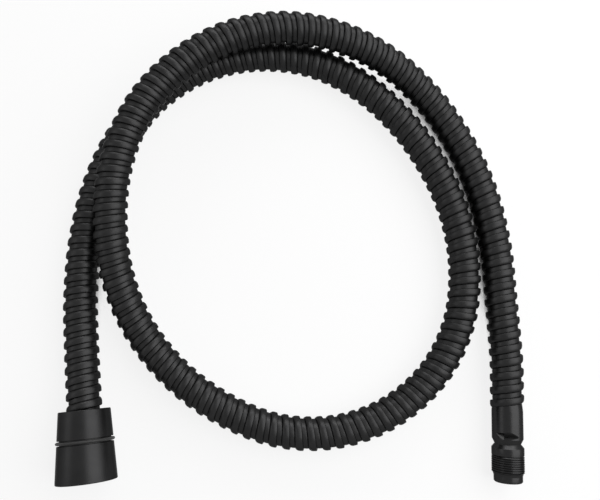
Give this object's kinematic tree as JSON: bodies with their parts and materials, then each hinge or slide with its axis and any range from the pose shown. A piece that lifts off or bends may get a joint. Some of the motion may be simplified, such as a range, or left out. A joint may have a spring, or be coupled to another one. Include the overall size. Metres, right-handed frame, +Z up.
{
  "type": "shower hose",
  "caption": "Flexible black metal shower hose lying in a loose loop, with a free-turning conical union nut and a notched male threaded connector at its ends.",
  "frame": {"origin": "on the surface the hose lies on, under the middle of the part's bounding box", "axes": "+Z up; both end fittings point towards -Y, the conical nut on the -X side and the male connector on the +X side"},
  "size_m": [0.2158, 0.2201, 0.0321],
  "materials": {
    "armour": "satin black coating on interlocked steel strip",
    "fitting": "satin black coating on turned brass",
    "inner_tube": "smooth",
    "rubber": "moulded",
    "white_plastic": "moulded",
    "brass": "machined"
  },
  "bodies": {
    "hose": {"hose_armour": "armour", "hose_inner_tube": "inner_tube", "nut_nipple": "brass", "nut_crimp_ferrule": "brass", "nut_slip_ring": "white_plastic", "male_connector": "fitting", "male_crimp_ferrule": "brass"},
    "union_nut": {"cone_nut": "fitting", "cone_grip_ring": "rubber", "nut_seal_washer": "rubber"}
  },
  "joints": [
    {"name": "nut_swivel", "type": "hinge", "parent": "hose", "child": "union_nut", "pos_m": [-0.0954, -0.07565, 0.01131], "axis": [0.1002, -0.9903, 0.0958], "continuous": true}
  ]
}
